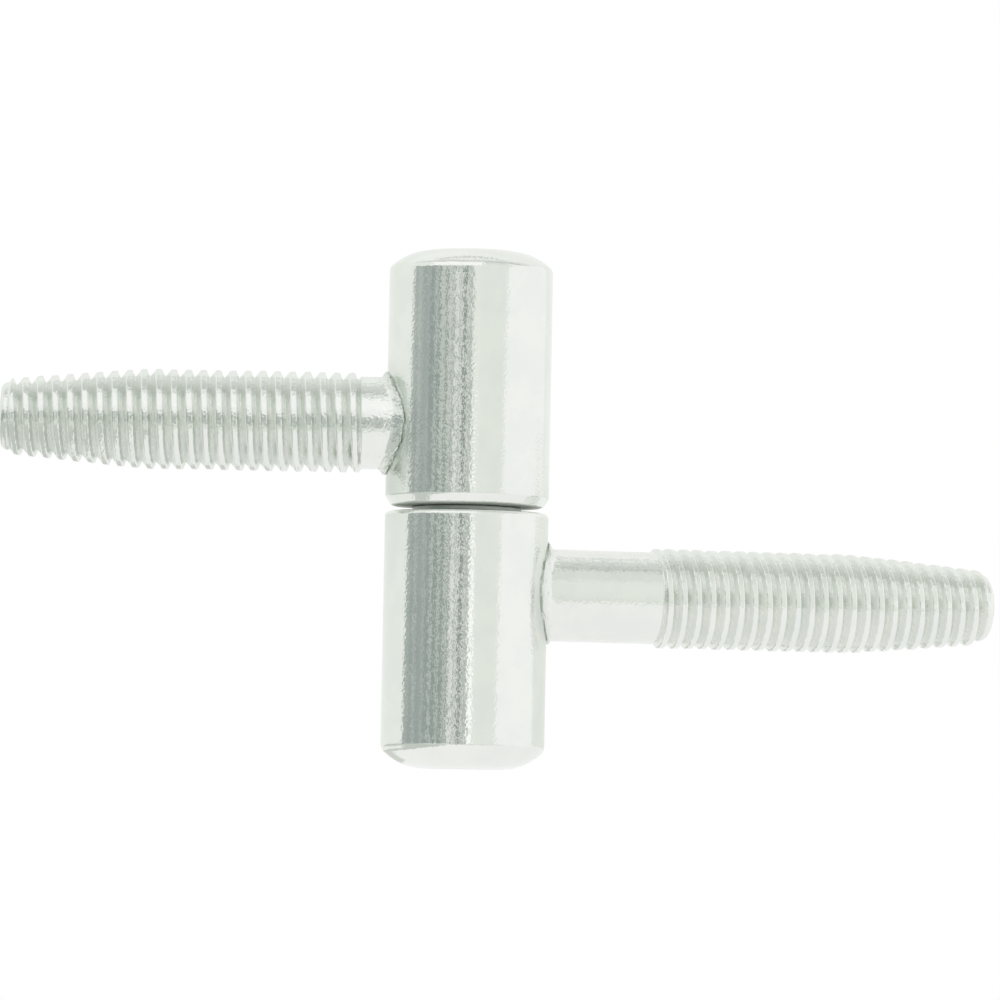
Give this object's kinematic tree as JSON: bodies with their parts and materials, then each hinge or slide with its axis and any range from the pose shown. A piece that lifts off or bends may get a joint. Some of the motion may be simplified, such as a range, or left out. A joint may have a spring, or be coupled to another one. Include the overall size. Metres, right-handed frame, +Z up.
{
  "type": "drill-in hinge",
  "caption": "Two-part lift-off drill-in hinge in zinc-plated steel: round knuckles on a fixed pin, each with a threaded, tapered shank for screwing into a door or its frame.",
  "frame": {"origin": "centre of the lower knuckle's flat foot, on the hinge axis", "axes": "+Z up along the hinge axis from the lower knuckle to the upper one; +X along the lower, frame-side shank; +Y completes the right-handed frame"},
  "size_m": [0.0863, 0.0202, 0.0443],
  "materials": {
    "zinc_plating": "satin",
    "ground_steel": "satin",
    "pressed_steel": "satin"
  },
  "bodies": {
    "frame_half": {"lower_knuckle": "zinc_plating", "lower_shank": "zinc_plating", "hinge_pin": "ground_steel"},
    "washer": {"thrust_washer": "pressed_steel"},
    "door_half": {"upper_knuckle": "zinc_plating", "upper_shank": "zinc_plating"}
  },
  "joints": [
    {"name": "swing", "type": "hinge", "parent": "frame_half", "child": "washer", "pos_m": [0, 0, 0.02215], "axis": [0, 0, 1], "continuous": true},
    {"name": "lift_off", "type": "slide", "parent": "washer", "child": "door_half", "axis": [0, 0, 1], "range_m": [0, 0.019]}
  ]
}
